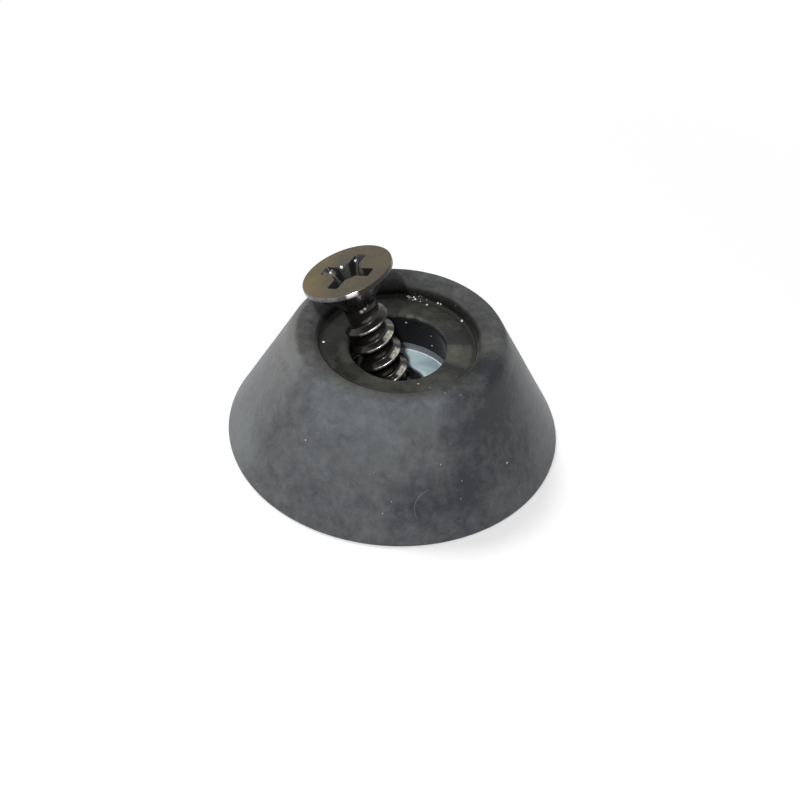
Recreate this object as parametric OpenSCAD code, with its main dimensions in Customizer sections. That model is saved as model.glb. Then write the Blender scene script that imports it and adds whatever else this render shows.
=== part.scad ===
// Screw-on rubber foot with a moulded-in steel washer and its own wood screw.
// Millimetres. The foot stands on its wide base at z = 0, centred on the Z axis,
// with its narrow end up. The screw stands loose in the bore and leans on its mouth.

/* [Rubber body] */
// Diameter across the wide base
base_d = 30; // [27:0.5:36]
// Height from the base to the rim of the narrow end
body_h = 11.35; // [10.75:0.1:14]
// Diameter across the narrow end, before its edge is rounded
rim_d = 19; // [18:0.1:20]
// Radius round the edge of the base
base_edge_r = 0.25; // [0.1:0.05:0.6]
// Radius round the outer edge of the narrow end
rim_edge_r = 0.8; // [0.2:0.05:1]

/* [Recess] */
// Diameter of the shallow recess in the narrow end
recess_d = 14.2; // [13:0.1:14.6]
// Depth of the recess, down to the ledge round the bore
recess_depth = 1.4; // [1.2:0.05:1.7]
// Radius over the inner edge of the rim
recess_edge_r = 1.05; // [0.6:0.05:1.1]
// Radius in the corner between the recess wall and the ledge
recess_corner_r = 0.3; // [0.1:0.05:0.3]

/* [Bore] */
// Diameter of the bore at its mouth
bore_d = 8.5; // [8.4:0.05:9.2]
// Diameter of the bore at its foot, where the washer shows
bore_foot_d = 10.6; // [9.8:0.1:11]
// Height of the straight ring of rubber above the washer
bore_land_h = 0.7; // [0.4:0.05:1.2]
// Radius over the edge of the bore's mouth
bore_edge_r = 0.3; // [0.1:0.05:0.4]
// Diameter of the hole in the rubber below the washer
under_d = 7.6; // [7.2:0.1:9]

/* [Steel washer] */
// Outer diameter of the washer
washer_d = 15; // [12:0.5:16]
// Diameter of the washer's hole
washer_hole_d = 5.5; // [5.3:0.05:6]
// Thickness of the washer
washer_t = 1; // [0.8:0.05:1.2]
// Height of the washer's underside above the base
washer_z = 4.3; // [3.9:0.1:4.5]

/* [Screw] */
// Diameter of the countersunk head
head_d = 8.24; // [7.6:0.02:8.3]
// Height of the head's straight edge
head_edge_h = 0.4; // [0.2:0.02:0.5]
// Width of the bevel round the head's face
head_bevel = 0.08; // [0.04:0.02:0.12]
// Full angle of the cone under the head
head_angle = 90; // [82:1:92]
// Radius of the cove between the cone and the neck
head_cove_r = 0.8; // [0.4:0.1:1]
// Diameter of the plain neck
neck_d = 3.1; // [3:0.05:3.3]
// Outer diameter of the thread
thread_d = 4.2; // [4:0.05:4.3]
// Diameter at the bottom of the thread
root_d = 3; // [2.8:0.05:3]
// Distance from one turn of the thread to the next
thread_pitch = 1.9; // [1.6:0.1:2.2]
// Width of the thread's crest
crest_w = 0.18; // [0.1:0.02:0.3]
// Angle between the two flanks of the thread
flank_angle = 60; // [50:1:64]
// Overall length, from the head's face to the point
screw_l = 18.4; // [17.6:0.1:19]
// Length from the head's face to the first trace of thread
thread_start = 3.9; // [3.7:0.1:5]
// Length over which the thread rises to its full height
thread_rise = 1.1; // [0.6:0.1:2]
// Depth of a crest below the head's face, on the side the head leans to
crest_depth = 5.92; // [5:0.02:6.9]
// Length of the tapered point
point_l = 4; // [3:0.1:5]
// Diameter left at the end of the point
point_d = 0.3; // [0.2:0.05:0.5]

/* [Cross recess] */
// Diameter over the ends of the wings at the head's face
cross_d = 5.2; // [4.4:0.1:5.4]
// Diameter over the ends of the wings at the bottom
cross_foot_d = 1.7; // [1.3:0.1:1.8]
// Width of a wing
cross_w = 1.2; // [1:0.05:1.3]
// Diameter of the round middle at the head's face
cross_core_d = 2.7; // [2.2:0.1:3]
// Depth of the recess
cross_depth = 2.3; // [2:0.1:2.6]
// Turn of the wings about the screw's axis
cross_turn = -8; // [-45:0.5:45]

/* [Stance of the screw] */
// Direction in which the head leans, about Z from +X
lean_dir = 161; // [0:1:359]
// Gap left between the thread and the bore's mouth
lean_gap = 0.05; // [0.03:0.01:0.15]
// Distance the screw stands back from the washer's centre, against its lean
stand_back = 0.15; // [0:0.01:0.15]
// Distance the screw stands to the right of the washer's centre, facing its lean
stand_aside = 0.3; // [0:0.01:0.3]
// Height of the screw's point above the base
point_gap = 0.08; // [0.05:0.01:0.3]

/* [Hidden] */
$fn = 96;

// Extra length by which a cutter passes the face it opens
over = 1;
// Straight pieces that stand for a quarter turn of a rounding
arc_steps = 8;

// Least height of straight wall left between the two roundings of the recess
least_wall = 0.05;

// Rubber and washer
ledge_z = body_h - recess_depth;
recess_lip_r = min(recess_edge_r, recess_depth - recess_corner_r - least_wall);
washer_top_z = washer_z + washer_t;
bore_land_z = washer_top_z + bore_land_h;
// The cone's side is laid against the rounding of the base's edge, so that the
// base is base_d wide after it is rounded.
edge_in = base_d / 2 - base_edge_r - rim_d / 2;
edge_down = body_h - base_edge_r;
side_angle = atan(edge_in / edge_down) + asin(base_edge_r / norm([edge_in, edge_down]));
base_corner_r = rim_d / 2 + body_h * tan(side_angle);

// Head and neck, measured down from the head's face
head_taper_h = (head_d - neck_d) / 2 / tan(head_angle / 2);
head_h = head_edge_h + head_taper_h;
neck_end = thread_start;
// The threaded rod starts inside the neck, this far above the neck's end
rod_lap = 0.4;

// Thread
flank_w = (thread_d - root_d) / 2 * tan(flank_angle / 2);
turn_steps = 20;
rod_start = neck_end - rod_lap;
row_step = thread_pitch / turn_steps;
row_count = ceil((screw_l - rod_start) / row_step);

// Stance: the screw's point is just above the base, its axis passes beside the
// middle of the washer's hole, and its thread comes to lean on the bore's mouth.
stand_z = washer_z + washer_t / 2;
mouth_rise = ledge_z - bore_edge_r - stand_z;
mouth_reach = sqrt(pow(bore_d / 2 - lean_gap, 2) - pow(stand_aside, 2)) + stand_back;
lean_tilt = acos(thread_d / 2 / norm([mouth_reach, mouth_rise])) - atan(mouth_rise / mouth_reach);
head_lift = screw_l - (stand_z - point_gap) / cos(lean_tilt);

// Points that round the corner at p, between the corners before and after it.
function arc_at(before, p, after, r) =
    r <= 0 ? [p] :
    let (
        a = (before - p) / norm(before - p),
        b = (after - p) / norm(after - p),
        half = acos(a * b) / 2,
        centre = p + (a + b) / norm(a + b) * r / sin(half),
        first = p + a * r / tan(half) - centre,
        side = sign(cross(first, p - centre)),
        sweep = 180 - 2 * half,
        steps = max(2, ceil(arc_steps * sweep / 90))
    )
    [for (i = [0 : steps]) let (t = side * sweep * i / steps)
        centre + [first.x * cos(t) - first.y * sin(t), first.x * sin(t) + first.y * cos(t)]];

// Outline whose corners are rounded. Each corner is [radius out, height, rounding].
function rounded(corners) =
    let (n = len(corners), xy = [for (c = corners) [c[0], c[1]]])
    [for (i = [0 : n - 1])
        each arc_at(xy[(i + n - 1) % n], xy[i], xy[(i + 1) % n], corners[i][2])];

// Moulded body: a blunt cone with a recess, a bore and a slot for the washer.
module rubber_body() {
    color("#4b4d4d")
        rotate_extrude()
            polygon(rounded([
                [under_d / 2, 0, 0],
                [base_corner_r, 0, base_edge_r],
                [rim_d / 2, body_h, rim_edge_r],
                [recess_d / 2, body_h, recess_lip_r],
                [recess_d / 2, ledge_z, recess_corner_r],
                [bore_d / 2, ledge_z, bore_edge_r],
                [bore_foot_d / 2, bore_land_z, 0],
                [bore_foot_d / 2, washer_top_z, 0],
                [washer_d / 2, washer_top_z, 0],
                [washer_d / 2, washer_z, 0],
                [under_d / 2, washer_z, 0]
            ]));
}

// Flat washer that the rubber is moulded round, with its inner part bare.
module steel_washer() {
    color("#a9bac3")
        translate([0, 0, washer_z])
            difference() {
                cylinder(d = washer_d, h = washer_t);
                translate([0, 0, -over])
                    cylinder(d = washer_hole_d, h = washer_t + 2 * over);
            }
}

// Height of the thread's profile, from 0 at the root to 1 on the crest, at a
// depth below the head's face and at an angle about the axis.
function thread_form(depth, angle) =
    let (
        turns = (depth - crest_depth) / thread_pitch + angle / 360,
        from_crest = abs(turns - round(turns)) * thread_pitch,
        rise = (depth - thread_start) / thread_rise
    )
    max(0, min(1, (crest_w / 2 + flank_w - from_crest) / flank_w)) * max(0, min(1, rise));

// Radius of the threaded rod, which tapers over the length of the point.
function rod_r(depth, angle) =
    let (
        form = thread_form(depth, angle),
        full = root_d / 2 + (thread_d - root_d) / 2 * form,
        taper = min(1, (screw_l - depth) / point_l)
    )
    max(point_d / 2, full * taper);

// Threaded rod and point in one closed skin. Each row of the skin is one step
// of the thread lower, so its long diagonals follow the turns.
module threaded_rod() {
    depths = [for (i = [0 : row_count]) min(screw_l, rod_start + i * row_step)];
    skin = [for (depth = depths, j = [0 : turn_steps - 1])
        let (angle = 360 * j / turn_steps, r = rod_r(depth, angle))
        [r * cos(angle), r * sin(angle), -depth]];
    ends = [[0, 0, -rod_start], [0, 0, -screw_l]];
    top = len(skin);
    sides = [for (i = [0 : row_count - 1], j = [0 : turn_steps - 1])
        let (k = (j + 1) % turn_steps, a = i * turn_steps, b = a + turn_steps)
        each [[b + j, a + j, a + k], [b + j, a + k, b + k]]];
    caps = [for (j = [0 : turn_steps - 1])
        let (k = (j + 1) % turn_steps, b = row_count * turn_steps)
        each [[top, k, j], [top + 1, b + j, b + k]]];
    polyhedron(points = concat(skin, ends), faces = concat(sides, caps));
}

// Head and neck turned as one, with a cove where they meet.
module head_blank() {
    rotate_extrude()
        polygon(rounded([
            [0, 0, 0],
            [0, -neck_end, 0],
            [neck_d / 2, -neck_end, 0],
            [neck_d / 2, -head_h, head_cove_r],
            [head_d / 2, -head_edge_h, 0],
            [head_d / 2, -head_bevel, 0],
            [head_d / 2 - head_bevel, 0, 0]
        ]));
}

// Cross recess: four wings that taper with depth, and a round middle.
module cross_recess() {
    slope = (cross_d - cross_foot_d) / cross_depth;
    rotate([0, 0, cross_turn]) {
        intersection() {
            translate([0, 0, -cross_depth])
                cylinder(d1 = cross_foot_d, d2 = cross_d + slope * over, h = cross_depth + over);
            union() {
                for (turn = [0, 90])
                    rotate([0, 0, turn])
                        translate([-cross_d, -cross_w / 2, -2 * cross_depth])
                            cube([2 * cross_d, cross_w, 3 * cross_depth]);
            }
        }
        translate([0, 0, -cross_depth])
            cylinder(d1 = cross_foot_d, d2 = cross_core_d, h = cross_depth + over / 10);
    }
}

// Wood screw in its own place: head's face at z = 0, point down.
module screw_upright() {
    difference() {
        head_blank();
        cross_recess();
    }
    threaded_rod();
}

// The screw as it stands in the foot, with its head leaning over the rim.
module mounting_screw() {
    color("#2e2d30")
        rotate([0, 0, lean_dir])
            translate([-stand_back, stand_aside, stand_z])
                rotate([0, lean_tilt, 0])
                    translate([0, 0, head_lift])
                        screw_upright();
}

rubber_body();
steel_washer();
mounting_screw();
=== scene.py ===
import math
from contextlib import contextmanager

import bpy
from mathutils import Matrix, Vector, noise


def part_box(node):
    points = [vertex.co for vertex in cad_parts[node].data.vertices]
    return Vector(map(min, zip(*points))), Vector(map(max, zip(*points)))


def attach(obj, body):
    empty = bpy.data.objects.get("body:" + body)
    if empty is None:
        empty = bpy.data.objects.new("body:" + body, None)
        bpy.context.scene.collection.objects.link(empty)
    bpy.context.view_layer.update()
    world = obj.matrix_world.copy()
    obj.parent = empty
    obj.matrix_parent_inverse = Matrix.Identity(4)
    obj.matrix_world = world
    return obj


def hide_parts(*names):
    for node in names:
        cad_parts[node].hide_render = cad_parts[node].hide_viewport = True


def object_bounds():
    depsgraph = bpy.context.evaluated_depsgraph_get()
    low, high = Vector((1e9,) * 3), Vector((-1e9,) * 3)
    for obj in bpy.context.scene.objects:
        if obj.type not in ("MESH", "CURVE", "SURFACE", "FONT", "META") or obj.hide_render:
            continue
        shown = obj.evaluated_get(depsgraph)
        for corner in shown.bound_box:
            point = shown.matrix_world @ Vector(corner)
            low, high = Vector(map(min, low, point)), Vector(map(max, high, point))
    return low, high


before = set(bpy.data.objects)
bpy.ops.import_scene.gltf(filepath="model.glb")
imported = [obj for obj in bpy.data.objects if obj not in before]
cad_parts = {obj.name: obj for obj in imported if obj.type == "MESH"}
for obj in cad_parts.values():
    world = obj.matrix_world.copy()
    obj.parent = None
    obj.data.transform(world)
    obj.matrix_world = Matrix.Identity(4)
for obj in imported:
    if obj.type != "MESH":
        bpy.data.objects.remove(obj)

bl_info = {
    "name": "Rubber Foot",
    "version": (1, 0, 0),
    "blender": (4, 5, 0),
    "location": "3D View > Sidebar > Rubber Foot",
    "description": "Screw-on rubber foot with a moulded-in washer and a loose wood screw",
    "category": "Add Mesh",
}

# One millimetre in metres. Sizes are written in millimetres times MM.
MM = 0.001

# Vertices closer together than this are one
WELD = 0.002 * MM

CAD_LOW, CAD_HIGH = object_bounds()
BODY_LOW, BODY_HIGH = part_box("rubber_body")
WASHER_LOW, WASHER_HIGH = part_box("steel_washer")


def size(name, description, millimetres, soft_max=None):
    """A length that shows in Blender's own units."""
    return bpy.props.FloatProperty(
        name=name,
        description=description,
        default=millimetres * MM,
        min=0.0,
        soft_max=(soft_max or 4 * millimetres) * MM,
        precision=5,
        subtype="DISTANCE",
        unit="LENGTH",
    )


def turn(name, description, degrees):
    """An angle that shows in degrees."""
    return bpy.props.FloatProperty(
        name=name,
        description=description,
        default=math.radians(degrees),
        subtype="ANGLE",
        unit="ROTATION",
    )


def amount(name, description, value, high=1.0):
    """A plain number."""
    return bpy.props.FloatProperty(
        name=name, description=description, default=value, min=0.0, max=high, subtype="FACTOR"
    )


def paint(name, description, *rgb):
    """The colour of what is described, in scene-linear red, green and blue."""
    return bpy.props.FloatVectorProperty(
        name=name, description=description, default=rgb, size=3, min=0.0, max=1.0, subtype="COLOR"
    )


# -------- Settings


class RubberSettings(bpy.types.PropertyGroup):
    """Sizes and colours of the moulded body."""

    rim_d: size("Rim Diameter", "Across the narrow end, before its edge is rounded", 19.0)
    base_edge_r: size("Base Edge", "Radius round the edge of the base", 0.25)
    rim_edge_r: size("Rim Edge", "Radius round the outer edge of the narrow end", 0.8)
    recess_d: size("Recess Diameter", "Across the shallow recess", 14.2)
    recess_depth: size("Recess Depth", "Down to the ledge round the bore", 1.4)
    recess_edge_r: size("Recess Edge", "Radius over the inner edge of the rim", 1.05)
    recess_corner_r: size("Recess Corner", "Radius between recess wall and ledge", 0.3)
    bore_d: size("Bore Diameter", "Across the mouth of the bore", 8.5)
    bore_foot_d: size("Bore Foot", "Across the foot of the bore", 10.6)
    bore_land_h: size("Bore Ring", "Height of the straight ring above the washer", 0.7)
    bore_edge_r: size("Bore Edge", "Radius over the edge of the bore's mouth", 0.3)
    under_d: size("Under Hole", "Across the hole below the washer", 7.6)
    wave: size("Moulding Wave", "Unevenness of the moulded skin", 0.03)
    black: paint("Rubber", "Clean rubber", 0.026, 0.027, 0.031)
    bloom: paint("Bloom", "Pale bloom on the outside", 0.130, 0.138, 0.143)
    film: paint("Film", "Bloom near the narrow end", 0.140, 0.141, 0.137)
    inner_black: paint("Recess", "Clean rubber in the recess", 0.010, 0.010, 0.009)
    bore_black: paint("Bore", "Clean rubber in the bore", 0.007, 0.008, 0.009)
    earth: paint("Earth", "Brown dirt worked into the recess", 0.064, 0.063, 0.052)
    talc: paint("Talc", "Grey skin on the ring above the washer", 0.19, 0.20, 0.225)
    # Also the colour of the painted glints in the groove and the recess
    dust_and_glints: paint("Dust and Glints", "Specks of dust", 0.85, 0.85, 0.82)


class WasherSettings(bpy.types.PropertyGroup):
    """Sizes and colours of the moulded-in washer."""

    hole_d: size("Hole Diameter", "Across the washer's hole", 5.5)
    edge_r: size("Edge", "Radius left on the edges by the punch", 0.12)
    painted_glint_r: size("Bead Radius", "Of the bright line at the foot of the bore", 5.3)
    zinc: paint("Zinc", "Zinc plating", 0.70, 0.86, 0.90)
    # Also used for the painted shade towards +x
    dull: paint("Dull Zinc", "Stained plating", 0.30, 0.40, 0.46)
    # Painted shade under the leaning screw; also darkens a thin ring round the hole
    dark_shade: paint("Dark Shade", "Grease on the side of the lean", 0.03, 0.03, 0.03)
    painted_glint: paint("Painted Glint", "Bright line at the foot of the bore", 0.95, 1.0, 1.0)


class ScrewSettings(bpy.types.PropertyGroup):
    """Sizes, stance and colours of the wood screw."""

    head_d: size("Head Diameter", "Across the countersunk head", 8.24)
    head_edge_h: size("Head Edge", "Height of the head's straight edge", 0.4)
    head_bevel: size("Head Bevel", "Radius round the head's face", 0.08)
    head_angle: turn("Head Angle", "Full angle of the cone under the head", 90)
    head_cove_r: size("Head Cove", "Radius between cone and neck", 0.8)
    neck_d: size("Neck Diameter", "Across the plain neck", 3.1)
    thread_d: size("Thread Diameter", "Over the crests", 4.2)
    root_d: size("Root Diameter", "At the bottom of the thread", 3.0)
    pitch: size("Pitch", "From one turn of the thread to the next", 1.9)
    crest_w: size("Crest Width", "Across the rounded crest", 0.18)
    flank_angle: turn("Flank Angle", "Between the two flanks of the thread", 60)
    screw_l: size("Length", "From the head's face to the point", 18.4)
    thread_start: size("Thread Start", "From the head's face to the first trace of thread", 3.9)
    thread_rise: size("Thread Rise", "Length over which the thread reaches its height", 1.1)
    crest_depth: size("Crest Depth", "Of one crest below the head's face, on the lean side", 5.92)
    point_l: size("Point Length", "Length of the tapered point", 4.0)
    point_d: size("Point Width", "Left at the end of the point", 0.3)
    cross_d: size("Cross Width", "Over the ends of the wings at the head's face", 5.2)
    cross_foot_d: size("Cross Foot", "Over the wings' ends at the foot, before it shrinks", 1.7)
    cross_w: size("Wing Width", "Of one wing of the cross recess", 1.2)
    cross_core_d: size("Cross Core", "Across the recess's round middle", 2.7)
    cross_depth: size("Cross Depth", "Depth of the cross recess", 2.3)
    cross_turn: turn("Cross Turn", "Of the wings about the screw's axis", -8)
    lean_dir: turn("Lean Direction", "In which the head leans, about Z from +X", 161)
    lean_gap: size("Lean Gap", "Between the thread and the bore's mouth", 0.05)
    stand_back: size("Stand Back", "From the washer's centre, against the lean", 0.15)
    stand_aside: size("Stand Aside", "From the washer's centre, to the right of the lean", 0.3)
    point_gap: size("Point Gap", "Height of the point above the base", 0.08)
    plating: paint("Plating", "Plating on the head's face", 0.108, 0.074, 0.008)
    tarnish: paint("Tarnish", "Stains on the head's face", 0.032, 0.021, 0.002)
    # Wear on the head's edge, with painted reflection on its front side
    wear_and_reflection: paint("Wear and Reflection", "Rubbed edge of the head", 0.17, 0.175, 0.19)
    # Colour of the painted highlights on the thread, the head's edge and in the cross recess
    highlight_white: paint("Highlight", "Steel where the plating is gone", 0.80, 0.78, 0.78)
    # Painted reflection on the upper flanks of the thread, on the right
    flank_reflection: paint("Flank Reflection", "Flanks where the plating is thin", 0.52, 0.52, 0.43)
    black: paint("Black", "Plating below the head", 0.024, 0.021, 0.019)
    dirt: paint("Dirt", "Dry dirt in the cross recess", 0.13, 0.125, 0.10)
    recess_dark: paint("Recess Dark", "What is left in the cross recess", 0.011, 0.011, 0.012)


class StageSettings(bpy.types.PropertyGroup):
    """Camera, floor and lights."""

    elevation: turn("Elevation", "Of the camera above the floor", 43.165)
    roll: turn("Roll", "Of the camera about its line of sight", 3.92)
    distance: size("Distance", "From the camera to the point it looks at", 189.755, 400)
    aim_right: size("Aim Right", "Of the point looked at, from the foot's axis", 0.517)
    aim_up: size("Aim Up", "Of the point looked at, above the floor", 3.602)
    lens: amount("Focal Length", "In millimetres on a 36 mm sensor", 92.925, 400.0)
    sky: amount("Sky", "Strength of the even white light from all round", 0.176, 4.0)
    floor: paint("Floor", "Whole floor", 0.87, 0.87, 0.87)
    floor_lift: amount("Floor Lift", "Share of plain white in the floor near the foot", 0.05)
    floor_near: size("Floor Near", "Distance from the foot at which the floor starts to whiten", 30)
    floor_far: size("Floor Far", "Distance from the foot past which the floor is plain white", 75)


# -------- Mesh tools


def deselect():
    """Leaves nothing selected."""
    bpy.ops.object.select_all(action="DESELECT")


def pick(piece):
    """Makes the piece the only selected one, and the active one."""
    deselect()
    piece.select_set(True)
    bpy.context.view_layer.objects.active = piece


@contextmanager
def editing(piece, part="VERT"):
    """Edit mode on one piece, in the given selection mode."""
    pick(piece)
    bpy.ops.object.mode_set(mode="EDIT")
    bpy.ops.mesh.select_mode(type=part)
    yield
    bpy.ops.object.mode_set(mode="OBJECT")


def select_where(piece, test, part="vertices"):
    """Selects only the vertices, edges or faces that pass the test. Called in edit mode."""
    bpy.ops.mesh.select_all(action="DESELECT")
    bpy.ops.object.mode_set(mode="OBJECT")
    for item in getattr(piece.data, part):
        item.select = bool(test(item))
    bpy.ops.object.mode_set(mode="EDIT")


def drawn_line(name, points, closed=True):
    """A chain of edges through the points, made by extruding one vertex along it."""
    deselect()
    bpy.ops.mesh.primitive_plane_add(size=MM, location=(0, 0, 0))
    piece = bpy.context.object
    piece.name = name
    piece.data.name = name
    with editing(piece):
        bpy.ops.mesh.select_all(action="SELECT")
        bpy.ops.mesh.merge(type="CENTER")
        bpy.ops.transform.translate(value=points[0])
        for before, after in zip(points, points[1:]):
            step = {"value": Vector(after) - Vector(before)}
            bpy.ops.mesh.extrude_vertices_move(TRANSFORM_OT_translate=step)
        if closed:
            ends = {0, len(points) - 1}
            select_where(piece, lambda v: v.index in ends)
            bpy.ops.mesh.edge_face_add()
    return piece


def arc_at(before, corner, after, radius, arc_turn):
    """Points that round a corner of an outline, one for about each arc_turn of angle."""
    before, corner, after = Vector(before), Vector(corner), Vector(after)
    if radius <= 0:
        return [corner]
    a = (before - corner).normalized()
    b = (after - corner).normalized()
    half = a.angle(b) / 2
    centre = corner + (a + b).normalized() * radius / math.sin(half)
    start = corner + a * radius / math.tan(half) - centre
    end = corner + b * radius / math.tan(half) - centre
    steps = max(3, math.ceil((math.pi - 2 * half) / arc_turn))
    sweep = start.angle_signed(end)
    return [centre + Matrix.Rotation(-sweep * i / steps, 2) @ start for i in range(steps + 1)]


def rounded(corners, arc_turn=math.radians(7.5)):
    """The points of a closed outline with rounded corners, each (x, y, radius)."""
    count = len(corners)
    points = []
    for i, (x, y, radius) in enumerate(corners):
        before, after = corners[i - 1][:2], corners[(i + 1) % count][:2]
        points += arc_at(before, (x, y), after, radius, arc_turn)
    return points


def split_long(points, longest):
    """The same closed outline with its long straight stretches divided."""
    result = []
    for i, point in enumerate(points):
        after = points[(i + 1) % len(points)]
        parts = max(1, math.ceil((after - point).length / longest))
        result += [point.lerp(after, k / parts) for k in range(parts)]
    return result


def turned(name, outline, steps):
    """A solid of revolution about Z from an outline of (radius, height) points."""
    piece = drawn_line(name, [(p[0], 0, p[1]) for p in outline])
    with editing(piece):
        bpy.ops.mesh.select_all(action="SELECT")
        bpy.ops.mesh.spin(steps=steps, angle=math.tau, center=(0, 0, 0), axis=(0, 0, 1))
    tidy(piece)
    return piece


def tidy(piece):
    """Merges doubles and turns every face outwards."""
    with editing(piece):
        bpy.ops.mesh.select_all(action="SELECT")
        bpy.ops.mesh.remove_doubles(threshold=WELD)
        bpy.ops.mesh.dissolve_degenerate(threshold=WELD / 4)
        bpy.ops.mesh.delete_loose()
        # delete_loose leaves what stays unselected
        bpy.ops.mesh.select_all(action="SELECT")
        bpy.ops.mesh.normals_make_consistent(inside=False)


def join_flat(piece, degrees=0.3):
    """Joins neighbouring faces that lie in one plane."""
    with editing(piece):
        bpy.ops.mesh.select_all(action="SELECT")
        bpy.ops.mesh.dissolve_limited(angle_limit=math.radians(degrees))


def smooth(piece, degrees=32):
    """Smooth shading, apart from edges that turn by more than the angle."""
    pick(piece)
    bpy.ops.object.shade_smooth_by_angle(angle=math.radians(degrees))


def modify(piece, kind, **settings):
    """Adds one modifier and applies it."""
    pick(piece)
    modifier = piece.modifiers.new(kind.title(), kind)
    for key, value in settings.items():
        setattr(modifier, key, value)
    bpy.ops.object.modifier_apply(modifier=modifier.name)


def cut(piece, tool, operation="DIFFERENCE"):
    """Boolean of the piece with a tool, which is then deleted."""
    modify(piece, "BOOLEAN", operation=operation, object=tool, solver="EXACT")
    remove(tool)


def remove(piece):
    """Deletes an object and its mesh."""
    mesh = piece.data
    bpy.data.objects.remove(piece)
    bpy.data.meshes.remove(mesh)


def placed(piece, place):
    """Moves a piece by a matrix and leaves the place in its mesh."""
    pick(piece)
    piece.matrix_world = place
    bpy.ops.object.transform_apply(location=True, rotation=True, scale=True)


def finished(piece, material, node):
    """Gives the piece its material and its body, and hides the CAD node it stands for."""
    piece.data.materials.clear()
    piece.data.materials.append(material)
    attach(piece, "root")
    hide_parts(node)


# -------- Material tools


class Value:
    """A socket of a material. Python's operators add the nodes for its maths: | gives the
    greater of two values, and & the smaller."""

    def __init__(self, recipe, socket):
        self.recipe = recipe
        self.socket = socket

    def maths(self, operation, *others):
        return self.recipe.node("ShaderNodeMath", [self, *others], operation=operation)

    def __add__(self, other):
        return self.maths("ADD", other)

    def __sub__(self, other):
        return self.maths("SUBTRACT", other)

    def __rsub__(self, other):
        return self.recipe.node("ShaderNodeMath", [other, self], operation="SUBTRACT")

    def __mul__(self, other):
        return self.maths("MULTIPLY", other)

    def __truediv__(self, other):
        return self.maths("DIVIDE", other)

    def __pow__(self, other):
        return self.maths("POWER", other)

    def __abs__(self):
        return self.maths("ABSOLUTE")

    def __or__(self, other):
        return self.maths("MAXIMUM", other)

    def __and__(self, other):
        return self.maths("MINIMUM", other)

    __radd__ = __add__
    __rmul__ = __mul__

    def ramp(self, low, high, start=0.0, end=1.0):
        """Goes smoothly from start to end as the value goes from low to high."""
        inputs = {"Value": self, "From Min": low, "From Max": high, "To Min": start, "To Max": end}
        return self.recipe.node("ShaderNodeMapRange", inputs, interpolation_type="SMOOTHSTEP")


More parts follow.
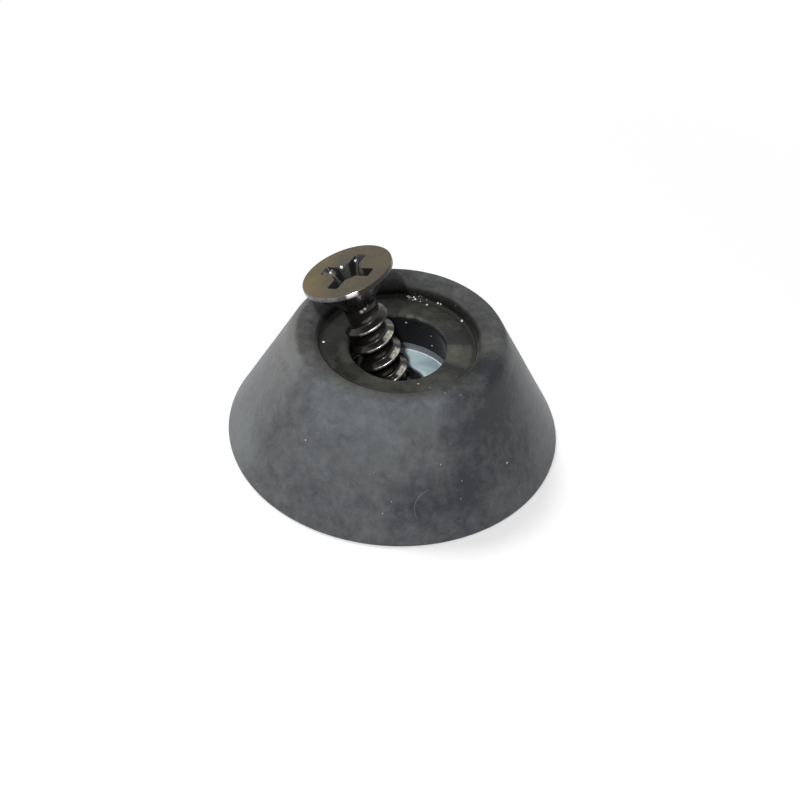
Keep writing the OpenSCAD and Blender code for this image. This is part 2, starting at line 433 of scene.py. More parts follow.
class Recipe:
    """The nodes of a material or of the world."""

    def __init__(self, owner):
        self.owner = owner
        owner.use_nodes = True
        self.tree = owner.node_tree
        self.tree.nodes.clear()

    def node(self, kind, inputs=(), output=0, **settings):
        """Adds a node with its settings, and the values or links of its sockets."""
        node = self.tree.nodes.new(kind)
        for key, value in settings.items():
            setattr(node, key, value)
        pairs = inputs.items() if isinstance(inputs, dict) else enumerate(inputs)
        for key, value in pairs:
            if isinstance(value, Value):
                self.tree.links.new(value.socket, node.inputs[key])
            else:
                node.inputs[key].default_value = value
        return Value(self, node.outputs[output])

    def place(self):
        """Where a point is on the object, in millimetres."""
        metres = self.node("ShaderNodeTexCoord", output="Object")
        return self.node("ShaderNodeVectorMath", {0: metres, "Scale": 1 / MM}, operation="SCALE")

    def parts(self, place):
        """The x, y and z of a place."""
        split = self.node("ShaderNodeSeparateXYZ", [place])
        return [Value(self, socket) for socket in split.socket.node.outputs]

    def distance(self, place, point):
        """How far a place is from a point."""
        inputs = {0: place, 1: point}
        return self.node("ShaderNodeVectorMath", inputs, output="Value", operation="DISTANCE")

    def seen_from(self, place, frame_in):
        """A place in millimetres as it is in another frame, given by its matrix in metres."""
        parts = []
        for row in frame_in[:3]:
            inputs = [place, tuple(row[:3])]
            dot = self.node("ShaderNodeVectorMath", inputs, output="Value", operation="DOT_PRODUCT")
            parts.append(dot + row[3] / MM)
        return self.node("ShaderNodeCombineXYZ", parts)

    def clouds(self, place, per_mm, detail=4.0, roughness=0.55, distortion=0.0):
        """Soft noise from 0 to 1, with that many patches in a millimetre."""
        inputs = {"Vector": place, "Scale": per_mm, "Detail": detail}
        inputs |= {"Roughness": roughness, "Distortion": distortion}
        return self.node("ShaderNodeTexNoise", inputs)

    def specks(self, place, per_mm, radius, share, seed):
        """Round specks of about that radius in mm, in that share of all cells."""
        shift = (seed, -seed, 2 * seed)
        shifted = self.node("ShaderNodeVectorMath", [place, shift], operation="ADD")
        inputs = {"Vector": shifted, "Scale": per_mm, "Randomness": 1.0}
        near = self.node("ShaderNodeTexVoronoi", inputs, output="Distance")
        cell = Value(self, near.socket.node.outputs["Color"])
        chance, growth, _ = self.parts(cell)
        reach = radius * per_mm * (0.4 + 0.9 * growth)
        return (1 - near / reach).ramp(0.0, 0.5) * chance.ramp(1 - share, 1 - share + 0.001)

    def spots(self, place, marks, core):
        """Round spots, each (point, radius, strength), at full strength over core of the radius."""
        whole = 0.0
        for point, radius, strength in marks:
            spot = self.distance(place, point).ramp(radius, core * radius) * strength
            whole = spot | whole
        return whole

    def mix(self, factor, first, second):
        """First colour where the factor is 0, second where it is 1."""
        first, second = (c if isinstance(c, Value) else (*c, 1.0) for c in (first, second))
        # Sockets 6 and 7 are the two colours
        inputs = {0: factor, 6: first, 7: second}
        return self.node("ShaderNodeMix", inputs, output=2, data_type="RGBA", clamp_factor=True)

    def bump(self, height, depth, normal=None):
        """A normal that shows the height, whose full range is depth in metres."""
        inputs = {"Strength": 1.0, "Distance": depth, "Height": height}
        if normal:
            inputs["Normal"] = normal
        return self.node("ShaderNodeBump", inputs)

    def end(self, shader, kind="ShaderNodeOutputMaterial"):
        """Adds the output node."""
        output = self.tree.nodes.new(kind)
        self.tree.links.new(shader.socket, output.inputs["Surface"])
        return self.owner

    def finish(self, **inputs):
        """Adds the main shader and the output. A name's underscores stand for spaces."""
        inputs = {key.replace("_", " "): value for key, value in inputs.items()}
        return self.end(self.node("ShaderNodeBsdfPrincipled", inputs))

    def shown(self):
        """1 for rays that show the background, seen directly or in metal or glass, else 0."""
        rays = self.node("ShaderNodeLightPath").socket.node.outputs
        names = ("Is Camera Ray", "Is Glossy Ray", "Is Transmission Ray")
        camera, glossy, clear = (Value(self, rays[name]) for name in names)
        return camera | glossy | clear


class Around:
    """Where the points of a surface lie about its z axis, in millimetres and degrees."""

    def __init__(self, recipe, place, zero):
        self.recipe = recipe
        self.place = place
        self.zero = zero
        self.x, self.y, self.z = recipe.parts(place)
        self.out = (self.x * self.x + self.y * self.y) ** 0.5

    def facing(self, azimuth, outer, inner):
        """1 within inner degrees of an azimuth, counted from the zero, and 0 past outer."""
        azimuth = math.radians(azimuth + self.zero)
        near = (self.x * math.cos(azimuth) + self.y * math.sin(azimuth)) / self.out
        return near.ramp(math.cos(math.radians(outer)), math.cos(math.radians(inner)))


# -------- Rubber body


def rubber_outline(sizes):
    """Half of the body's section, as (radius, height) points in metres."""
    base_r = (BODY_HIGH.x - BODY_LOW.x) / 2
    top = BODY_HIGH.z
    edge_in = base_r - sizes.base_edge_r - sizes.rim_d / 2
    edge_down = top - sizes.base_edge_r
    side_angle = math.atan(edge_in / edge_down) + math.asin(
        sizes.base_edge_r / math.hypot(edge_in, edge_down)
    )
    base_corner_r = sizes.rim_d / 2 + top * math.tan(side_angle)
    ledge = top - sizes.recess_depth
    land = WASHER_HIGH.z + sizes.bore_land_h
    washer_r = (WASHER_HIGH.x - WASHER_LOW.x) / 2
    corners = [
        (sizes.under_d / 2, 0.0, 0.0),
        (base_corner_r, 0.0, sizes.base_edge_r),
        (sizes.rim_d / 2, top, sizes.rim_edge_r),
        (sizes.recess_d / 2, top, sizes.recess_edge_r),
        (sizes.recess_d / 2, ledge, sizes.recess_corner_r),
        (sizes.bore_d / 2, ledge, sizes.bore_edge_r),
        (sizes.bore_foot_d / 2, land, 0.0),
        (sizes.bore_foot_d / 2, WASHER_HIGH.z, 0.0),
        (washer_r, WASHER_HIGH.z, 0.0),
        (washer_r, WASHER_LOW.z, 0.0),
        (sizes.under_d / 2, WASHER_LOW.z, 0.0),
    ]
    return split_long(rounded(corners), 0.35 * MM)


def wave_skin(piece, depth):
    """Makes the skin above the base slightly uneven, as soft mouldings are."""
    broad_shift = Vector((3.1, 0.4, 7.7))
    fine_shift = Vector((9.2, 5.5, 1.3))
    full_from = 0.1 * BODY_HIGH.z
    for vertex in piece.data.vertices:
        place = vertex.co / MM
        broad = noise.noise(place * 0.22 + broad_shift)
        fine = noise.noise(place * 0.9 + fine_shift)
        out = Vector((vertex.co.x, vertex.co.y, 0)).normalized()
        rise = min(1.0, vertex.co.z / full_from)
        vertex.co += out * depth * rise * (0.7 * broad + 0.3 * fine - 0.5)


# Pale specks on the rubber, dusty ones outside and painted glints in the recess: where each is, its
# radius in millimetres, and how strongly it shows
DUST_AND_GLINT_SPECKS = [
    ((-6.6, 0.0, 9.9), 0.16, 1.0),
    ((0.6, 4.4, 9.1), 0.15, 1.0),
    ((2.95, 3.64, 8.35), 0.12, 0.7),
    ((3.38, 6.22, 10.14), 0.13, 0.9),
    ((3.64, 6.08, 10.16), 0.12, 0.8),
    ((1.28, 6.77, 9.97), 0.12, 0.8),
    ((3.1, 4.0, 6.9), 0.13, 1.0),
    ((5.6, 4.1, 10.0), 0.14, 0.7),
    ((2.4, 6.1, 9.9), 0.14, 0.8),
    ((2.0, -4.7, 9.9), 0.14, 0.5),
    ((10.2, -8.0, 4.3), 0.11, 0.8),
    ((8.1, -10.0, 4.4), 0.09, 0.4),
    ((4.0, -11.0, 6.7), 0.12, 0.3),
    ((-1.3, -12.0, 6.0), 0.1, 0.25),
    ((-7.4, -9.2, 6.6), 0.12, 0.4),
]


class RubberZones(Around):
    """Masks for the parts of the body's skin. Azimuth 0 is the front, and 90 is the right."""

    def __init__(self, recipe, sizes):
        super().__init__(recipe, recipe.place(), zero=-90)
        out, z = self.out, self.z
        self.top = top = BODY_HIGH.z / MM
        self.ledge = ledge = top - sizes.recess_depth / MM
        self.rim_r = rim_r = sizes.rim_d / 2 / MM
        self.recess_r = recess_r = sizes.recess_d / 2 / MM
        self.bore_r = bore_r = sizes.bore_d / 2 / MM
        land = (WASHER_HIGH.z + sizes.bore_land_h) / MM

        # The crown is the top of the rim, the brow its inner side, the lip the edge of the bore
        upper_part = z.ramp(ledge - 0.5, ledge - 0.2)
        brow = out.ramp(recess_r - 0.1, recess_r + 0.2) * out.ramp(recess_r + 1.1, recess_r + 0.5)
        self.within = out.ramp(recess_r + 0.2, recess_r)
        self.crown = out.ramp(rim_r, recess_r + 0.5) * upper_part
        self.brow = brow * upper_part
        self.recess = out.ramp(recess_r + 0.55, recess_r + 0.1) * upper_part
        self.lip = out.ramp(bore_r + 0.55, bore_r + 0.25) * upper_part

        # The groove is the corner round the ledge, the ring the straight wall above the washer
        corner = out.ramp(recess_r - 0.75, recess_r - 0.25) * z.ramp(ledge + 0.7, ledge + 0.1)
        ragged = z + (recipe.clouds(self.place, 1.2, 3.0, 0.6) - 0.5) * 0.7
        self.groove = corner * self.within
        self.bore = ragged.ramp(ledge - 0.1, ledge - 0.35) * self.within
        self.ring = z.ramp(land + 0.03, land - 0.03) * self.within

        # Clouds of several sizes, from 0 to 1
        self.broad = recipe.clouds(self.place, 0.17, 4.0, 0.6, 0.5)
        self.drift = recipe.clouds(self.place, 0.5, 2.0, 0.55, 0.9)
        self.mottle = recipe.clouds(self.place, 1.5, 6.0, 0.72, 0.4)
        self.grain = recipe.clouds(self.place, 7.0, 4.0, 0.7)


def bloom_and_light_share(on):
    """How much pale bloom is on the outside: most in front on the left, least on the right, with
    painted light and shade mixed in.
    """
    top, rim_r = on.top, on.rim_r
    upper = on.z.ramp(2.0, top - 1.0)
    shoulder = on.z.ramp(top - 2.6, top - 1.2)
    rim_edge = on.out.ramp(rim_r - 0.6, rim_r) * on.z.ramp(top - 2.0, top - 0.6)
    rim_flat = on.out.ramp(rim_r - 0.2, rim_r - 0.7) * on.z.ramp(top - 0.5, top - 0.05)
    settled_and_lit = [
        # Painted light: lighter towards the top, most in front on the left
        on.facing(-14, 60, 8) * (0.02 + 0.22 * upper),
        on.facing(-7, 17, 2) * 0.06,
        # Painted sheen: lighter on the left and right sides
        on.facing(-88, 40, 8) * 0.38,
        on.facing(92, 32, 8) * 0.24,
        # Painted highlight on the front left shoulder below the rim
        on.facing(-32, 30, 10) * shoulder * 0.14,
        on.facing(36, 27, 12) * shoulder * 0.26,
        on.facing(38, 46, 20) * on.z.ramp(3.2, 0.8) * 0.2,
        on.facing(-62, 26, 8) * on.z.ramp(4.5, 2.0) * 0.22,
        on.facing(140, 30, 14) * on.crown * 0.15,
        # Painted sheen on the left rim edge
        on.facing(-94, 44, 14) * rim_edge * 0.4,
    ]
    rubbed_off_and_shaded = [
        on.facing(52, 34, 14) * (0.17 + 0.16 * upper),
        on.facing(84, 46, 20) * on.z.ramp(6.0, 9.5) * 0.2,
        on.facing(17, 23, 8) * on.z.ramp(7.0, 4.5) * 0.26,
        on.facing(-52, 11, 3) * 0.12,
        # Painted shade of the leaning head: darker on the left of the rim top and on the shoulder
        # behind it
        on.facing(-104, 55, 20) * rim_flat * 0.4,
        on.facing(-168, 24, 8) * shoulder * 0.3,
    ]
    patchy = (on.drift - 0.5) * 0.7 + (on.mottle - 0.5) * 0.9 + (on.broad - 0.5) * 0.35
    bloom = 0.36 + sum(settled_and_lit) - sum(rubbed_off_and_shaded) + patchy
    return ((bloom | 0.0) * (0.7 + 0.6 * on.grain)) & 1.0


def dirt_and_shade_share(on):
    """How much brown dirt is on the crown and in the recess: most in front on the left. Less dirt
    leaves darker rubber, used as painted shade in the groove, on the outer ledge and under the
    head.
    """
    mouth = on.out.ramp(on.bore_r + 1.4, on.bore_r + 0.6)
    off_mouth = on.out.ramp(on.bore_r + 0.9, on.bore_r + 1.7) * on.within
    torn = on.recipe.clouds(on.place, 1.9, 4.0, 0.65).ramp(0.40, 0.58)
    caked = [
        on.facing(-35, 130, 20) * 0.5,
        on.facing(84, 18, 7) * on.crown * 0.7,
        on.facing(-76, 24, 8) * mouth * 0.7,
        on.facing(173, 30, 14) * on.lip * torn * 1.2,
    ]
    clean_and_shaded = [
        # Painted shade in the groove round the ledge
        on.groove * 0.5,
        on.brow * 0.25,
        on.facing(80, 30, 12) * 0.18,
        on.facing(170, 80, 20) * 0.14,
        on.facing(35, 50, 22) * on.crown * 0.25,
        on.facing(109, 12, 6) * on.crown * 0.3,
        on.facing(-47, 14, 5) * on.recess * 0.3,
        # Painted shade on the left of the ledge, under the leaning head
        on.facing(-102, 50, 20) * on.recess * 0.8,
        # Painted shade on the outer part of the ledge, in front and on the right
        on.facing(-25, 50, 25) * off_mouth * 0.3,
        on.facing(90, 20, 12) * off_mouth * 0.3,
    ]
    patchy = (on.drift - 0.5) * 0.8 + (on.mottle - 0.5) * 1.4
    return ((0.34 + sum(caked) - sum(clean_and_shaded) + patchy) | 0.0) & 1.0


def dust_and_glints_share(on):
    """How much pale dusty matter there is, with painted glints: glints along the groove, powder, a
    hair in front, and specks.
    """
    recipe, place = on.recipe, on.place
    corner_r = on.out.ramp(on.recess_r - 0.5, on.recess_r - 0.3)
    corner = corner_r * on.z.ramp(on.ledge + 0.6, on.ledge + 0.3) * on.within
    # Painted glints: pale sparkles along the groove at the back
    sparkle = recipe.clouds(place, 4.4, 2.0, 0.6).ramp(0.60, 0.68)
    groove_glints = on.facing(172, 13, 9) * corner * sparkle * 0.8
    powder = recipe.specks(place, 1.5, 0.07, 0.08, 11.0) * 0.3
    # The hair is the part of a thin ring about one point that lies near another point
    ring = 1 - abs(recipe.distance(place, (3.9, -12.7, 3.0)) - 1.7) / 0.07
    shown_part = recipe.distance(place, (2.6, -13.0, 3.6)).ramp(1.6, 1.2)
    hair = ring.ramp(0.0, 1.0) * shown_part * 0.07
    return groove_glints | powder | hair | recipe.spots(place, DUST_AND_GLINT_SPECKS, 0.4)


def rubber_material(sizes):
    """Black rubber with drifts of grey bloom outside and brown dirt in the recess, with painted
    light, shade and glints mixed in.
    """
    recipe = Recipe(bpy.data.materials.new("rubber"))
    on = RubberZones(recipe, sizes)
    warm = on.facing(180, 135, 105) * on.z.ramp(6.0, 10.0)
    bloom = recipe.mix(warm, sizes.bloom, sizes.film)
    colour = recipe.mix(bloom_and_light_share(on), sizes.black, bloom)
    inner = recipe.mix(dirt_and_shade_share(on), sizes.inner_black, sizes.earth)
    soiled = on.crown * (0.4 + 0.25 * on.facing(0, 100, 40))
    colour = recipe.mix(soiled | on.recess, colour, inner)
    colour = recipe.mix(on.bore, colour, sizes.bore_black)
    colour = recipe.mix(on.ring * on.grain.ramp(0.35, 0.6, 0.45, 1.0), colour, sizes.talc)
    colour = recipe.mix(dust_and_glints_share(on), colour, sizes.dust_and_glints)

    wet = on.recess * (0.8 - 0.6 * on.groove)
    rim = on.out.ramp(on.rim_r + 1.0, on.rim_r - 0.3) * on.z.ramp(on.top - 1.6, on.top - 0.6)
    dull = rim * (1 - on.recess)
    rough = 0.56 + 0.1 * (on.drift - 0.5) - 0.2 * wet + 0.2 * on.bore + 0.25 * dull
    waves = recipe.bump(on.mottle, 0.05 * MM)
    return recipe.finish(
        Base_Color=colour,
        Roughness=rough,
        Normal=recipe.bump(on.grain, 0.016 * MM, waves),
        Specular_IOR_Level=0.15,
        Coat_Weight=(1 - (on.crown | dull)) * (1 - on.within) * 0.25,
        Coat_Roughness=0.5,
        Sheen_Weight=0.07,
        Sheen_Roughness=0.35,
        Sheen_Tint=(0.95, 0.97, 1.0, 1.0),
    )


class FOOT_OT_rubber_body(bpy.types.Operator):
    """Builds the moulded rubber body"""

    bl_idname = "foot.rubber_body"
    bl_label = "Rubber Body"

    def execute(self, context):
        sizes = context.scene.foot_rubber
        piece = turned("moulded_rubber_body", rubber_outline(sizes), steps=288)
        wave_skin(piece, sizes.wave)
        smooth(piece)
        finished(piece, rubber_material(sizes), "rubber_body")
        return {"FINISHED"}


# -------- Steel washer


def zinc_material(sizes):
    """Dull bluish zinc plating, with painted shade where the screw leans and towards +x, darker
    round the hole, and a painted glint line.
    """
    recipe = Recipe(bpy.data.materials.new("zinc_plate"))
    on = Around(recipe, recipe.place(), zero=0)
    hole_r = sizes.hole_d / 2 / MM
    painted_glint_r = sizes.painted_glint_r / MM
    patches = recipe.clouds(on.place, 0.7, 5.0, 0.65, 0.8)
    crystals = recipe.clouds(on.place, 6.0, 4.0, 0.7)
    # Painted shade: the plating darkens towards +x
    stain = patches.ramp(0.35, 0.65) * 0.4 + crystals * 0.3 + on.x.ramp(1.4, 3.8) * 0.45
    # Painted highlight: a bright glint line at the foot of the bore
    painted_glint = on.out.ramp(painted_glint_r - 0.2, painted_glint_r - 0.1) * on.out.ramp(painted_glint_r + 0.1, painted_glint_r)
    colour = recipe.mix(stain & 1.0, sizes.zinc, sizes.dull)
    # Painted shade where the screw leans over the washer
    colour = recipe.mix(on.x.ramp(-0.4, -1.6), colour, sizes.dark_shade)
    # The same dark colour in a thin ring round the hole
    colour = recipe.mix(on.out.ramp(hole_r + 0.35, hole_r + 0.1), colour, sizes.dark_shade)
    colour = recipe.mix(painted_glint * crystals.ramp(0.3, 0.55), colour, sizes.painted_glint)
    return recipe.finish(
        Base_Color=colour,
        Metallic=0.2,
        Roughness=patches.ramp(0.3, 0.7, 0.34, 0.5),
        Normal=recipe.bump(crystals, 0.012 * MM),
    )


class FOOT_OT_steel_washer(bpy.types.Operator):
    """Builds the moulded-in washer"""

    bl_idname = "foot.steel_washer"
    bl_label = "Steel Washer"

    def execute(self, context):
        sizes = context.scene.foot_washer
        outer_r = (WASHER_HIGH.x - WASHER_LOW.x) / 2
        low, high = WASHER_LOW.z, WASHER_HIGH.z
        outline = rounded([
            (sizes.hole_d / 2, low, sizes.edge_r),
            (outer_r, low, sizes.edge_r),
            (outer_r, high, sizes.edge_r),
            (sizes.hole_d / 2, high, sizes.edge_r),
        ])
        piece = turned("zinc_plated_washer", split_long(outline, 0.6 * MM), steps=192)
        smooth(piece)
        finished(piece, zinc_material(sizes), "steel_washer")
        return {"FINISHED"}


# -------- Wood screw


def screw_place(sizes, washer_middle, mouth_z, bore_d):
    """The matrix from the screw's own axes to where it stands, leaning on the bore's mouth."""
    rise = mouth_z - washer_middle
    across = math.sqrt((bore_d / 2 - sizes.lean_gap) ** 2 - sizes.stand_aside ** 2)
    reach = across + sizes.stand_back
    tilt = math.acos(sizes.thread_d / 2 / math.hypot(reach, rise)) - math.atan(rise / reach)
    lift = sizes.screw_l - (washer_middle - sizes.point_gap) / math.cos(tilt)
    return (
        Matrix.Rotation(sizes.lean_dir, 4, "Z")
        @ Matrix.Translation((-sizes.stand_back, sizes.stand_aside, washer_middle))
        @ Matrix.Rotation(tilt, 4, "Y")
        @ Matrix.Translation((0, 0, lift))
    )


def head_blank(sizes):
    """Countersunk head and neck, with the head's face at z = 0."""
    taper_h = (sizes.head_d - sizes.neck_d) / 2 / math.tan(sizes.head_angle / 2)
    head_h = sizes.head_edge_h + taper_h
    neck_end = -sizes.thread_start
    neck_end_h = 0.25 * MM
    inside_root = sizes.root_d / 2 - 0.02 * MM
    outline = rounded([
        (0.0, 0.0, 0.0),
        (0.0, neck_end, 0.0),
        (inside_root, neck_end, 0.0),
        (sizes.neck_d / 2, neck_end + neck_end_h, 0.2 * MM),
        (sizes.neck_d / 2, -head_h, sizes.head_cove_r),
        (sizes.head_d / 2, -sizes.head_edge_h, 0.05 * MM),
        (sizes.head_d / 2, 0.0, sizes.head_bevel),
    ])
    return turned("black_wood_screw", outline, steps=160)


def thread_section(sizes):
    """One turn of the thread's section, from crest to crest, as (radius, height) points."""
    crest_r = sizes.thread_d / 2
    root_r = sizes.root_d / 2
    flank_h = (crest_r - root_r) * math.tan(sizes.flank_angle / 2)
    top = (crest_r, 0.0)
    crest_edge = (crest_r, sizes.crest_w / 2)
    flank_foot = (root_r, sizes.crest_w / 2 + flank_h)
    foot = (root_r, sizes.pitch / 2)
    crest_edge_r = 0.08 * MM
    flank_foot_r = 0.15 * MM
    step = math.radians(15)
    half = [Vector(top)]
    half += arc_at(top, crest_edge, flank_foot, crest_edge_r, step)
    half += arc_at(crest_edge, flank_foot, foot, flank_foot_r, step)
    half += [Vector(foot)]
    return half + [Vector((p.x, sizes.pitch - p.y)) for p in reversed(half[:-1])]


def threaded_rod(sizes):
    """Threaded rod from inside the neck down to the point."""
    into_neck = 0.4 * MM
    steps = 112
    top = into_neck - sizes.thread_start
    turns_below = math.ceil((sizes.screw_l - sizes.crest_depth) / sizes.pitch) + 1
    first = -sizes.crest_depth - turns_below * sizes.pitch
    line = [(radius, 0, first + height) for radius, height in thread_section(sizes)]
    piece = drawn_line("rod", line, closed=False)
    modify(
        piece,
        "SCREW",
        axis="Z",
        angle=math.tau,
        screw_offset=sizes.pitch,
        iterations=math.ceil((top - first) / sizes.pitch) + 1,
        steps=steps,
        render_steps=steps,
        use_merge_vertices=True,
        merge_threshold=WELD,
    )
    with editing(piece):
        for height, keeps_below in ((top, True), (-sizes.screw_l, False)):
            bpy.ops.mesh.select_all(action="SELECT")
            bpy.ops.mesh.bisect(
                plane_co=(0, 0, height),
                plane_no=(0, 0, 1),
                use_fill=True,
                clear_outer=keeps_below,
                clear_inner=not keeps_below,
                threshold=WELD / 4,
            )
    shape_thread(piece, sizes)
    tidy(piece)
    return piece


def shape_thread(piece, sizes):
    """Lets the thread rise out of the neck, and narrows the rod to its point."""
    root_r = sizes.root_d / 2
    point_r = sizes.point_d / 2
    axis_r = 0.1 * MM
    for vertex in piece.data.vertices:
        depth = -vertex.co.z
        radius = math.hypot(vertex.co.x, vertex.co.y)
        if radius < axis_r:
            continue
        rise = min(1.0, max(0.0, (depth - sizes.thread_start) / sizes.thread_rise))
        full = root_r + (radius - root_r) * rise if radius > root_r else radius
        taper = min(1.0, max(0.0, (sizes.screw_l - depth) / sizes.point_l))
        factor = (point_r + (full - point_r) * taper) / radius
        vertex.co.x *= factor
        vertex.co.y *= factor


def wing_slope(sizes):
    """How much further out the ends of the wings are for each length that they rise."""
    return (sizes.cross_d - sizes.cross_foot_d) / 2 / sizes.cross_depth


def low_outside(radius):
    """A test for the vertices below z = 0 that are outside a radius."""
    return lambda vertex: vertex.co.z < 0 and vertex.co.xy.length > radius


def cross_cutter(sizes):
    """Four tapered wings that cut the cross recess."""
    over = 0.2 * MM
    tip_r = 0.15 * MM
    root_r = 0.25 * MM
    half = sizes.cross_w / 2
    reach = sizes.cross_d / 2 + wing_slope(sizes) * over
    corners = []
    for quarter in range(4):
        spin = Matrix.Rotation(quarter * math.pi / 2 + sizes.cross_turn, 2)
        for x, y, radius in ((reach, -half, tip_r), (reach, half, tip_r), (half, half, root_r)):
            corners.append((*(spin @ Vector((x, y))), radius))
    line = [(p.x, p.y, over) for p in rounded(corners, math.radians(15))]
    piece = drawn_line("cross_cutter", line)
    wing_share = sizes.cross_foot_d / 2 / reach
    foot_share = 0.85
    with editing(piece):
        bpy.ops.mesh.select_all(action="SELECT")
        bpy.ops.mesh.edge_face_add()
        step = {"value": (0, 0, -over - sizes.cross_depth)}
        bpy.ops.mesh.extrude_region_move(TRANSFORM_OT_translate=step)
        # First the ends of the wings come in, then the whole foot with their inner corners
        for radius, share in ((2 * half, wing_share), (1.1 * half, foot_share)):
            select_where(piece, low_outside(radius))
            bpy.ops.transform.resize(value=(share, share, 1), center_override=(0, 0, 0))
    tidy(piece)
    return piece


def cross_core(sizes):
    """Tapered round middle of the cross recess."""
    over = 0.01 * MM
    deselect()
    bpy.ops.mesh.primitive_cone_add(
        vertices=48,
        radius1=sizes.cross_foot_d / 2,
        radius2=sizes.cross_core_d / 2,
        depth=sizes.cross_depth + over,
        location=(0, 0, (over - sizes.cross_depth) / 2),
    )
    return bpy.context.object


def soften_recess(piece, sizes):
    """Rounds the edge where the cross recess meets the head's face."""
    reach = sizes.cross_d / 2 + 0.2 * MM
    flat = 0.001 * MM
    points = piece.data.vertices
    sharp = sharp_edges(piece)

    def on_edge(edge):
        ends = [points[i].co for i in edge.vertices]
        near = all(abs(end.z) <= flat and end.xy.length <= reach for end in ends)
        return near and edge.index in sharp

    with editing(piece, "EDGE"):
        select_where(piece, on_edge, "edges")
        bpy.ops.mesh.bevel(offset=0.05 * MM, segments=3, clamp_overlap=True)


def sharp_edges(piece, degrees=25):
    """Indices of the edges whose two faces meet at more than the angle."""
    sides = {}
    for face in piece.data.polygons:
        for key in face.edge_keys:
            sides.setdefault(key, []).append(face.normal)
    sharp = set()
    for edge in piece.data.edges:
        normals = sides.get(edge.key, ())
        if len(normals) == 2 and normals[0].angle(normals[1]) > math.radians(degrees):
            sharp.add(edge.index)
    return sharp


# Painted glints in the cross recess and on the neck, given as the specks are, in the screw's frame
GLINTS = [
    ((0.29, -2.25, -0.38), 0.17, 1.0),
    ((1.0, -0.92, -0.12), 0.18, 1.0),
    ((1.97, -0.88, -0.31), 0.15, 1.0),
    ((2.14, -0.68, -0.46), 0.13, 1.0),
    ((-0.85, 1.45, -3.4), 0.25, 1.0),
    ((-1.15, 1.2, -3.25), 0.22, 1.0),
    ((-1.38, 0.95, -3.1), 0.18, 1.0),
]

# Dry dirt in the cross recess, given in the same way
SMEARS = [
    ((-0.95, -0.8, -0.4), 0.75, 1.0),
    ((1.95, -0.62, -0.55), 0.45, 1.0),
    ((2.2, -0.2, -0.25), 0.4, 1.0),
]


class ScrewZones(Around):
    """Masks for the parts of the screw, in its own frame: azimuth 0 is the way that it leans,
    and z is 0 on the head's face."""

    def __init__(self, recipe, sizes, to_own):
        super().__init__(recipe, recipe.seen_from(recipe.place(), to_own), zero=0)
        out, z = self.out, self.z
        head_r = sizes.head_d / 2 / MM
        edge_h = sizes.head_edge_h / MM
        cross_r = sizes.cross_d / 2 / MM
        crest_r = sizes.thread_d / 2 / MM
        start = sizes.thread_start / MM

        taper = (out - z * wing_slope(sizes)).ramp(cross_r + 0.3, cross_r + 0.12)
        self.face = z.ramp(-0.05, -0.015)
        self.edge = out.ramp(head_r - 0.13, head_r - 0.05) * z.ramp(-edge_h - 0.06, -0.1)
        self.cross = taper * z.ramp(-0.02, -0.07)

        # How far round the thread a point is: 0 and 1 on a crest, over a half above the crest
        turns = self.y.maths("ARCTAN2", self.x) / math.tau
        depth = -1 * z - sizes.crest_depth / MM
        phase = (depth / (sizes.pitch / MM) + turns).maths("FRACT")
        threaded = z.ramp(0.3 - start, -0.4 - start)
        flank = out.ramp(crest_r - 0.5, crest_r - 0.35) * z.ramp(-4.9, -5.6)
        self.crest = out.ramp(crest_r - 0.1, crest_r - 0.03) * threaded
        self.above = phase.ramp(0.62, 0.72) * flank
        self.hollow = phase.ramp(0.48, 0.54) * phase.ramp(0.68, 0.6) * threaded

        # Scratches from 0 to 1, and how far they let painted highlights, reflections, wear and dirt
        # show
        self.rub = recipe.clouds(self.place, 3.0, 5.0, 0.7)
        self.broken = self.rub.ramp(0.35, 0.6, 0.35, 1.0)


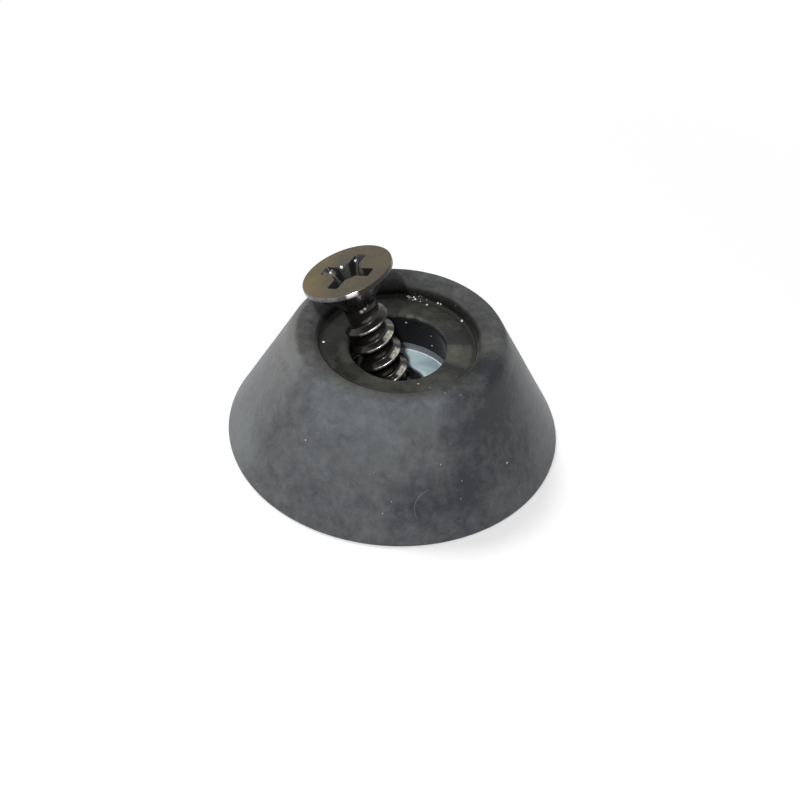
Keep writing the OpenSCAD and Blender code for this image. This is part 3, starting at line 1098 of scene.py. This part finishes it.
def plating_material(sizes, to_own):
    """Glossy black plating, stained olive on the head's face, worn on the edge, with painted
    highlights and reflections.
    """
    recipe = Recipe(bpy.data.materials.new("black_plate"))
    on = ScrewZones(recipe, sizes, to_own)
    stain = recipe.clouds(on.place, 0.45, 4.0, 0.6, 0.8).ramp(0.36, 0.64)
    stain = stain * 0.3 + on.rub * 0.2 + on.x.ramp(4.2, 1.2) * 0.64
    stain = stain - on.facing(48, 50, 22) * on.out.ramp(1.8, 3.0) * 0.34
    smeared = recipe.spots(on.place, SMEARS, 0.5) * on.broken * on.cross
    # Painted highlights: lines along the crests and roots, a spot on the head's edge, and the
    # glints
    bright = (
        on.facing(127, 36, 12) * on.crest * on.broken * 0.75
        | on.facing(126, 24, 8) * on.hollow * on.broken * 0.3
        | on.facing(120, 9, 3) * on.edge
        | recipe.spots(on.place, GLINTS, 0.5)
    )

    olive = recipe.mix(stain & 1.0, sizes.plating, sizes.tarnish)
    colour = recipe.mix(on.face, sizes.black, olive)
    # Rubbed edge towards the front: wear and painted reflection
    colour = recipe.mix(on.facing(58, 62, 30) * on.edge * on.broken, colour, sizes.wear_and_reflection)
    # Near black in the cross recess, with dry dirt in places
    colour = recipe.mix(on.cross, colour, recipe.mix(smeared, sizes.recess_dark, sizes.dirt))
    colour = recipe.mix(bright, colour, sizes.highlight_white)
    # Painted reflection: cream on the upper flanks, on the right
    colour = recipe.mix(on.facing(168, 24, 8) * on.above * on.broken, colour, sizes.flank_reflection)

    matt = (1 - bright) * (0.3 + 0.55 * on.cross + 0.2 * on.face)
    rough = 0.26 + 0.12 * (on.rub - 0.5) - 0.06 * on.face + 0.15 * on.cross - 0.08 * on.edge
    pits = recipe.clouds(on.place, 7.0, 3.0, 0.7)
    scratched = recipe.bump(on.rub, 0.004 * MM)
    return recipe.finish(
        Base_Color=colour,
        Metallic=1 - (smeared | matt),
        Roughness=rough | smeared * 0.7,
        Normal=recipe.bump(pits * on.cross, 0.06 * MM, scratched),
        Coat_Weight=0.12 - 0.12 * on.cross,
        Coat_Roughness=0.12,
    )


class FOOT_OT_mounting_screw(bpy.types.Operator):
    """Builds the loose wood screw"""

    bl_idname = "foot.mounting_screw"
    bl_label = "Mounting Screw"

    def execute(self, context):
        sizes = context.scene.foot_screw
        rubber = context.scene.foot_rubber
        piece = head_blank(sizes)
        cut(piece, threaded_rod(sizes), "UNION")
        cut(piece, cross_cutter(sizes))
        cut(piece, cross_core(sizes))
        tidy(piece)
        join_flat(piece)
        soften_recess(piece, sizes)
        smooth(piece)
        modify(piece, "WEIGHTED_NORMAL", keep_sharp=True)
        middle = (WASHER_LOW.z + WASHER_HIGH.z) / 2
        mouth = BODY_HIGH.z - rubber.recess_depth - rubber.bore_edge_r
        place = screw_place(sizes, middle, mouth, rubber.bore_d)
        placed(piece, place)
        material = plating_material(sizes, place.inverted())
        finished(piece, material, "mounting_screw")
        return {"FINISHED"}


# -------- Stage


def floor_material(settings):
    """Pale floor that keeps the shadow near the foot and shows as white far from it."""
    recipe = Recipe(bpy.data.materials.new("pale_floor"))
    matt = recipe.node("ShaderNodeBsdfDiffuse", {"Color": (*settings.floor, 1.0)})
    white = recipe.node("ShaderNodeEmission", {"Color": (1, 1, 1, 1)})
    near, far = settings.floor_near / MM, settings.floor_far / MM
    away = recipe.distance(recipe.place(), (0, 0, 0)).ramp(near, far, settings.floor_lift, 1.0)
    share = recipe.shown() * away
    return recipe.end(recipe.node("ShaderNodeMixShader", [share, matt, white]))


def add_sky(settings):
    """Even white light from all round, which shows as plain white."""
    world = bpy.data.worlds.new("sky")
    recipe = Recipe(world)
    strength = settings.sky + (1 - settings.sky) * recipe.shown()
    light = recipe.node("ShaderNodeBackground", {"Color": (1, 1, 1, 1), "Strength": strength})
    recipe.end(light, "ShaderNodeOutputWorld")
    bpy.context.scene.world = world


def aimed(obj, place, target, roll=0.0):
    """Places a lamp or camera so that it looks at the target."""
    look = (Vector(target) - Vector(place)).to_track_quat("-Z", "Y").to_matrix().to_4x4()
    obj.matrix_world = Matrix.Translation(place) @ look @ Matrix.Rotation(roll, 4, "Z")


# Each lamp's azimuth and elevation in degrees, its width in metres, and the light that it gives a
# surface that faces it. Azimuth 0 is the front, and 90 is the right.
LAMPS = {
    "key": (-16, 54, 0.035, 0.86),
    "back_left": (-135, 55, 0.12, 0.42),
    "window": (168, 29, 0.09, 0.05),
}
LAMP_DISTANCE = 0.6


def add_lamp(name, azimuth, elevation, width, strength):
    """A round soft lamp that looks at the middle of the foot."""
    azimuth, elevation = math.radians(azimuth), math.radians(elevation)
    level = math.cos(elevation)
    way = Vector((math.sin(azimuth) * level, -math.cos(azimuth) * level, math.sin(elevation)))
    middle = Vector((0, 0, CAD_HIGH.z / 2))
    lamp = bpy.data.lights.new(name, "AREA")
    lamp.shape = "DISK"
    lamp.size = width
    lamp.energy = strength * math.pi ** 2 * LAMP_DISTANCE ** 2
    obj = bpy.data.objects.new(name, lamp)
    bpy.context.scene.collection.objects.link(obj)
    aimed(obj, middle + way * LAMP_DISTANCE, middle)


def add_camera(settings):
    """Camera in front of the foot, looking down at it."""
    level = math.cos(settings.elevation)
    place = settings.distance * Vector((0, -level, math.sin(settings.elevation)))
    target = Vector((settings.aim_right, 0, settings.aim_up))
    camera = bpy.data.cameras.new("camera")
    camera.lens = settings.lens
    camera.sensor_width = 36.0
    camera.clip_start = MM
    obj = bpy.data.objects.new("camera", camera)
    bpy.context.scene.collection.objects.link(obj)
    aimed(obj, place, target, settings.roll)
    bpy.context.scene.camera = obj


class FOOT_OT_stage(bpy.types.Operator):
    """Builds the floor, the lights and the camera"""

    bl_idname = "foot.stage"
    bl_label = "Stage"

    def execute(self, context):
        settings = context.scene.foot_stage
        deselect()
        # The floor lies a hair below the foot, so that their faces don't coincide
        bpy.ops.mesh.primitive_circle_add(
            vertices=64, radius=4.0, fill_type="NGON", location=(0, 0, -0.01 * MM)
        )
        floor = context.object
        floor.name = "floor"
        floor.data.materials.append(floor_material(settings))
        add_sky(settings)
        for name, lamp in LAMPS.items():
            add_lamp(name, *lamp)
        add_camera(settings)
        context.scene.view_settings.view_transform = "Standard"
        return {"FINISHED"}


# -------- Add-on


class FOOT_PT_panel(bpy.types.Panel):
    """Lists the pieces of the foot"""

    bl_label = "Rubber Foot"
    bl_space_type = "VIEW_3D"
    bl_region_type = "UI"
    bl_category = "Rubber Foot"

    def draw(self, context):
        for operator in OPERATORS:
            self.layout.operator(operator.bl_idname)


GROUPS = {
    "foot_rubber": RubberSettings,
    "foot_washer": WasherSettings,
    "foot_screw": ScrewSettings,
    "foot_stage": StageSettings,
}
OPERATORS = [FOOT_OT_rubber_body, FOOT_OT_steel_washer, FOOT_OT_mounting_screw, FOOT_OT_stage]


def register():
    for group in GROUPS.values():
        bpy.utils.register_class(group)
    for name, group in GROUPS.items():
        setattr(bpy.types.Scene, name, bpy.props.PointerProperty(type=group))
    for item in [*OPERATORS, FOOT_PT_panel]:
        bpy.utils.register_class(item)


def unregister():
    for item in [FOOT_PT_panel, *reversed(OPERATORS)]:
        bpy.utils.unregister_class(item)
    for name in GROUPS:
        delattr(bpy.types.Scene, name)
    for group in reversed(GROUPS.values()):
        bpy.utils.unregister_class(group)


def main():
    register()
    bpy.ops.foot.rubber_body()
    bpy.ops.foot.steel_washer()
    bpy.ops.foot.mounting_screw()
    bpy.ops.foot.stage()


if __name__ == "__main__":
    main()
